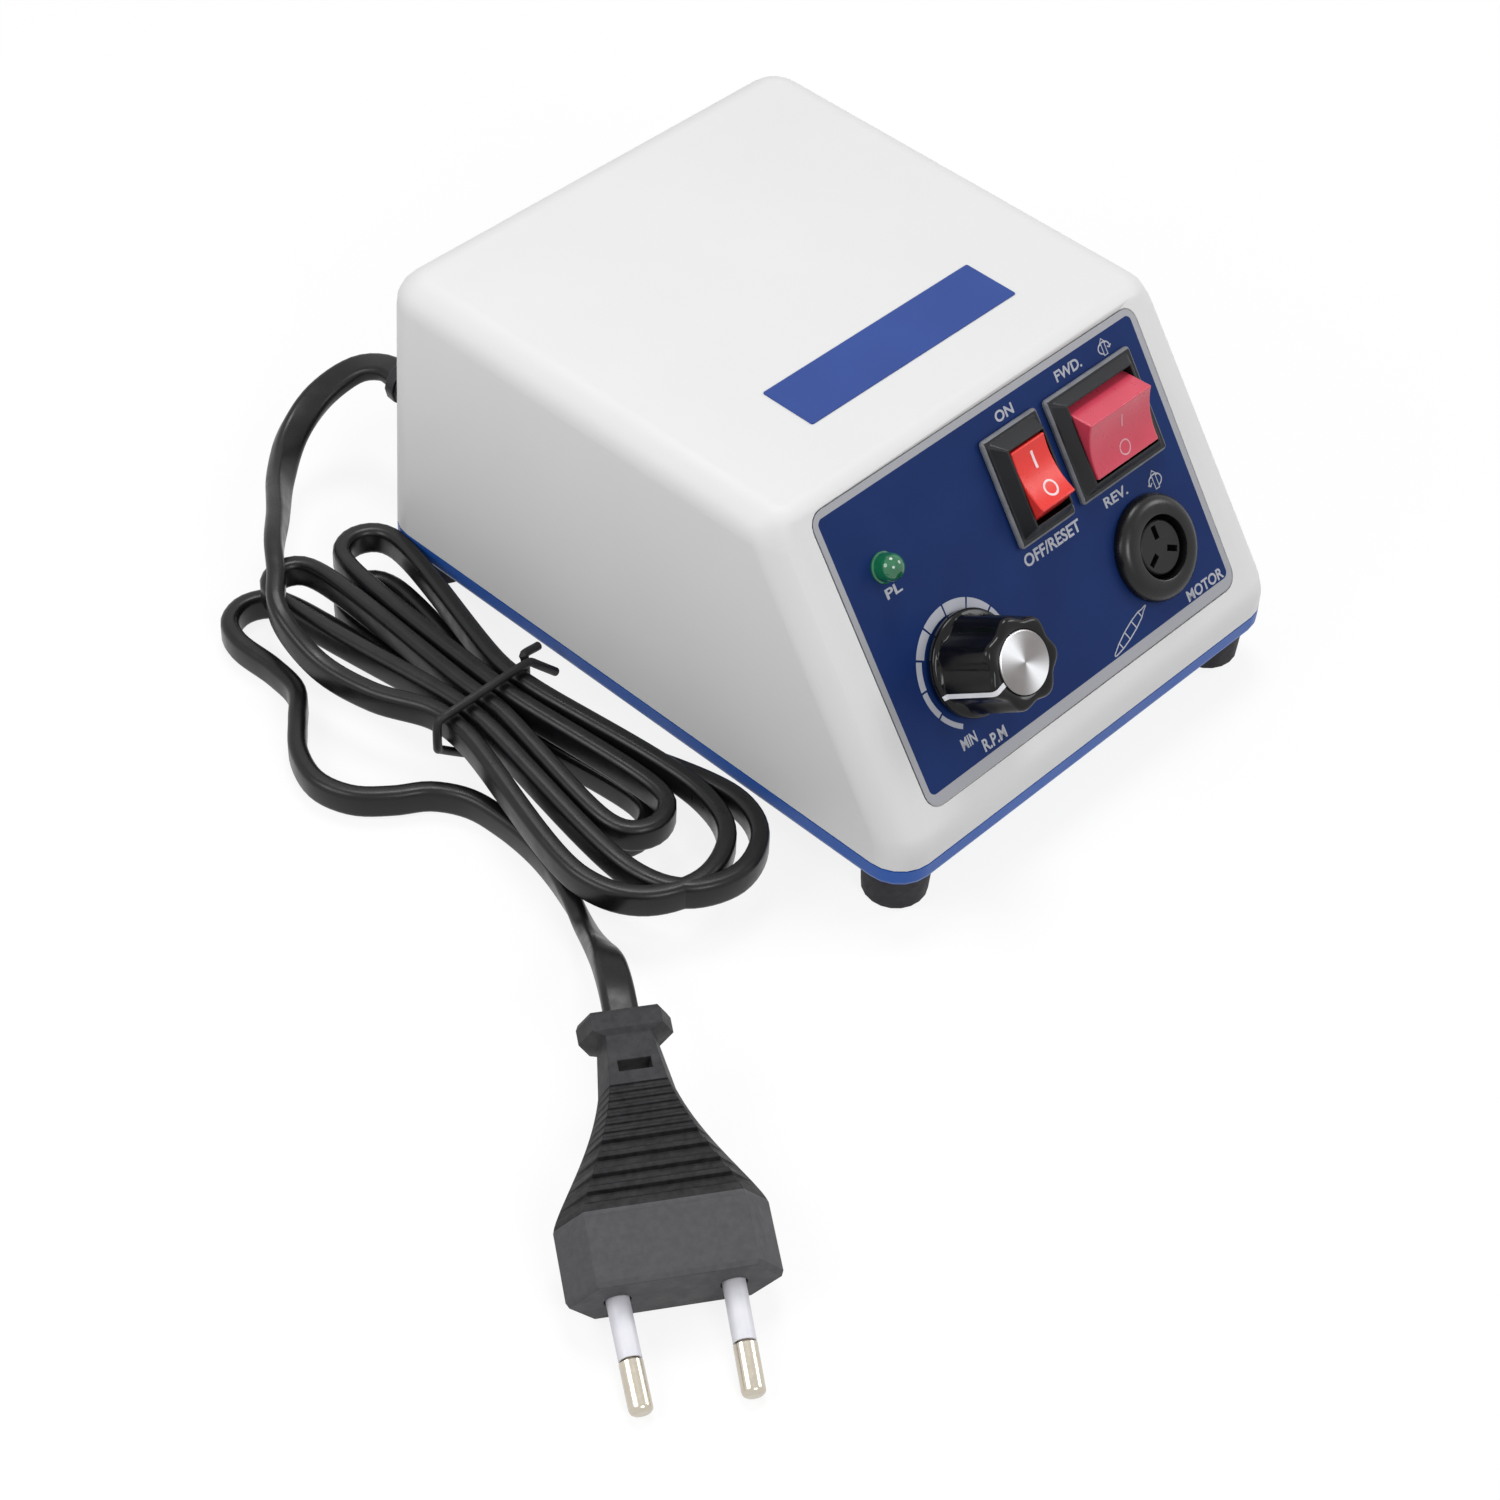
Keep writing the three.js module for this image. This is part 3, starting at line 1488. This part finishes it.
const colours = {
  cover: ["#e4e5e6", 0.55, 0],
  base: ["#26529a", 0.5, 0],
  rubber: ["#37353a", 0.8, 0],
  steel: ["#b9bbbd", 0.35, 0.9],
  panel: ["#1e2e66", 0.45, 0.1],
  black: ["#28282b", 0.45, 0],
  gloss: ["#0e0e10", 0.15, 0],
  red: ["#f0443c", 0.35, 0],
  green: ["#1d8a52", 0.2, 0],
  aluminium: ["#c9cacc", 0.3, 0.95],
  copper: ["#a8642f", 0.4, 0.6],
  board: ["#2b6b3c", 0.5, 0],
  glass: ["#dfe7e6", 0.1, 0],
  cord: ["#2b2b2d", 0.5, 0],
  plug: ["#4b4b4d", 0.65, 0],
  sleeve: ["#e1e1e8", 0.5, 0],
};

function material(slot) {
  const [color, roughness, metalness] = colours[slot];
  return new THREE.MeshStandardMaterial({ color, roughness, metalness });
}

function piece(parent, name, body, slot) {
  const mesh = new THREE.Mesh(geometryOf(body), material(slot));
  mesh.name = name;
  parent.add(mesh);
  return mesh;
}

function frameGroup(matrix) {
  const group = new THREE.Group();
  matrix.decompose(group.position, group.quaternion, group.scale);
  return group;
}

const device = new THREE.Group();
const cordSet = new THREE.Group();

const coverGroup = new THREE.Group();
device.add(coverGroup);
piece(coverGroup, "case_cover", caseCover(), "cover");
piece(coverGroup, "case_base", caseBase(), "base");

["front_left", "front_right", "rear_left", "rear_right"].forEach((place, i) => {
  const [x, y] = corners[i];
  piece(coverGroup, "foot_" + place, foot(), "rubber").position.set(x, y, 0);
  const length = partingHeight + bossStart + screwReach - footCounterboreDepth + seatGap - 2 * overrun;
  const body = screw(screwRadius, length, screwHeadRadius, screwHeadHeight);
  const caseScrew = piece(coverGroup, "case_screw_" + place, body, "steel");
  caseScrew.position.set(x, y, footCounterboreDepth - seatGap);
});

const panelGroup = frameGroup(panelTurn);
device.add(panelGroup);
piece(panelGroup, "front_panel", frontPanel(), "panel");

function addSwitch(name, sizes) {
  const { u, v, pivot, tilt } = sizes;
  piece(panelGroup, name + "_switch_frame", switchFrame(sizes), "black").position.set(u, v, 0);
  const mesh = piece(panelGroup, name + "_rocker", rocker(sizes), "red");
  mesh.position.set(u, v, pivot);
  mesh.rotation.x = THREE.MathUtils.degToRad(tilt);
}

addSwitch("power", {
  u: powerU,
  v: powerV,
  width: powerFrameWidth,
  length: powerFrameLength,
  top: powerFrameTop,
  rockerWidth: powerRockerWidth,
  half: powerRockerHalf,
  rise: powerRockerRise,
  dip: powerRockerDip,
  pivot: powerPivotRise,
  tilt: -powerTiltDegrees,
  blades: 2,
});
addSwitch("direction", {
  u: directionU,
  v: directionV,
  width: directionFrameWidth,
  length: directionFrameLength,
  top: directionFrameTop,
  rockerWidth: directionRockerWidth,
  half: directionRockerHalf,
  rise: directionRockerRise,
  dip: directionRockerDip,
  pivot: directionPivotRise,
  tilt: directionTiltDegrees,
  blades: 2,
});

piece(panelGroup, "power_lamp", lamp(), "green").position.set(lampU, lampV, 0);
piece(panelGroup, "socket_housing", socketHousing(), "black").position.set(socketU, socketV, 0);
piece(panelGroup, "socket_insert", socketInsert(), "black").position.set(socketU, socketV, 0);
const socketNut = nut(socketNutRadius, socketBodyRadius + seatGap, socketNutHeight, 6);
const socketNutLow = -wall - seatGap - socketNutHeight;
piece(panelGroup, "socket_nut", socketNut, "steel").position.set(socketU, socketV, socketNutLow);

const knobGroup = new THREE.Group();
knobGroup.position.set(knobU, knobV, 0);
panelGroup.add(knobGroup);
piece(knobGroup, "speed_knob", speedKnob(), "gloss");
piece(knobGroup, "knob_cap", knobCap(), "aluminium");
piece(knobGroup, "speed_shaft", potShaft(), "steel");
piece(knobGroup, "speed_potentiometer", potBody(), "black");
const bushingNut = nut(bushingNutRadius, bushingRadius + slideGap, bushingNutHeight, 6);
piece(knobGroup, "potentiometer_nut", bushingNut, "steel").position.set(0, 0, seatGap);

const rearGroup = frameGroup(rearTurn);
device.add(rearGroup);
piece(rearGroup, "fuse_holder", fuseHolder(), "black").position.set(fuseX, fuseUp, 0);
piece(rearGroup, "fuse_cap", fuseCap(), "black").position.set(fuseX, fuseUp, 0);
piece(rearGroup, "fuse_link", fuseLink(), "glass").position.set(fuseX, fuseUp, -seatGap);
const fuseNut = nut(fuseNutRadius, fuseBodyRadius + seatGap, fuseNutHeight, 6);
const fuseNutLow = -wall - seatGap - fuseNutHeight;
piece(rearGroup, "fuse_holder_nut", fuseNut, "steel").position.set(fuseX, fuseUp, fuseNutLow);
piece(rearGroup, "pedal_jack", pedalJack(), "black").position.set(jackX, jackUp, 0);
const jackNut = nut(jackNutRadius, jackNeckRadius + slideGap, jackNutHeight, 6);
piece(rearGroup, "pedal_jack_nut", jackNut, "steel").position.set(jackX, jackUp, seatGap);
piece(rearGroup, "selector_frame", selectorFrame(), "steel").position.set(selectorX, selectorUp, 0);
const slider = piece(rearGroup, "selector_slider", selectorSlider(), "black");
slider.position.set(selectorX - selectorTravel / 2, selectorUp, 0);

const bracketSeat = baseHeight + baseFloor + bracketBossHeight + seatGap;
const coreMiddle = bracketSeat + coreHeight / 2 + seatGap;
const transformer = new THREE.Group();
transformer.position.set(coreX, coreY, coreMiddle);
device.add(transformer);
piece(transformer, "transformer_core", transformerCore(), "steel");
piece(transformer, "transformer_winding", transformerWinding(), "copper");
piece(transformer, "transformer_bracket", transformerBracket(), "steel");
["left", "right"].forEach((side, i) => {
  const [x, y] = bracketPlaces()[i];
  const length = bracketScrewLength;
  const body = screw(bracketScrewRadius, length, bracketHeadRadius, bracketHeadHeight);
  const bolt = piece(device, "transformer_screw_" + side, body, "steel");
  bolt.position.set(x, y, bracketSeat + bracketThick + seatGap);
  bolt.rotation.x = Math.PI;
});

const boardSeat = baseHeight + baseFloor + boardBossHeight + seatGap;
const boardGroup = new THREE.Group();
boardGroup.position.set(0, 0, boardSeat);
device.add(boardGroup);
piece(boardGroup, "circuit_board", circuitBoard(), "board");
const boardTop = boardThick + seatGap;
["front_left", "front_right", "rear_left", "rear_right"].forEach((place, i) => {
  const [x, y] = boardPlaces()[i];
  const body = screw(boardScrewRadius, boardScrewLength, boardHeadRadius, boardHeadHeight);
  const bolt = piece(boardGroup, "board_screw_" + place, body, "steel");
  bolt.position.set(x, y, boardTop);
  bolt.rotation.x = Math.PI;
});
["a", "b"].forEach((letter, i) => {
  const can = piece(boardGroup, "capacitor_" + letter, capacitor(), "black");
  can.position.set(canX + i * canPitch, boardY, boardTop);
});
const sinkPlace = boardY + boardDepth / 2 - sinkY;
piece(boardGroup, "heat_sink", heatSink(), "aluminium").position.set(sinkX, sinkPlace, boardTop);
const powerTransistor = piece(boardGroup, "power_transistor", transistor(), "black");
const transistorPlace = sinkPlace - sinkBack / 2 - seatGap - transistorThick / 2;
powerTransistor.position.set(sinkX, transistorPlace, boardTop);

const guardGroup = frameGroup(rearTurn);
cordSet.add(guardGroup);
piece(guardGroup, "strain_relief", strainRelief(), "black").position.set(reliefX, reliefUp, 0);
piece(cordSet, "cord_from_case", cordTube(caseCordRoute, [Math.PI / 2, 0], caseCordSteps, 8), "cord");
const hankPoints = hankRoute();
const hankSteps = Math.round((strandColumns.length * loopSteps) / 2);
piece(cordSet, "cord_hank", cordTube(hankPoints, [0, 0], hankSteps, hankSides), "cord");
piece(cordSet, "cord_tie", cordTie(), "cord");
const hankMeasure = hankGap(hankPoints);
const hankLength = "hank: length " + hankMeasure.length.toFixed(0) + " mm";
const hankLeast = "least gap to itself " + hankMeasure.least.toFixed(2) + " mm";
console.log(hankLength + ", " + hankLeast + " near " + hankMeasure.where);
piece(cordSet, "cord_to_plug", cordTube(plugCordRoute, [0, Math.PI / 2], plugCordSteps, 8), "cord");

const plugGroup = frameGroup(plugPlace);
cordSet.add(plugGroup);
piece(plugGroup, "plug_body", plugBody(), "plug");
[-1, 1].forEach((side) => {
  const holder = frameGroup(pinPlace(side));
  plugGroup.add(holder);
  const place = side < 0 ? "left" : "right";
  piece(holder, "plug_pin_" + place, plugPin(), "steel");
  piece(holder, "pin_sleeve_" + place, pinSleeve(), "sleeve");
});

// The origin lies under the middle of the device, with the cord left out
const unit = new THREE.Group();
unit.add(device, cordSet);
const bounds = new THREE.Box3().setFromObject(device, true);
unit.position.y = -(bounds.min.y + bounds.max.y) / 2;

export default unit;
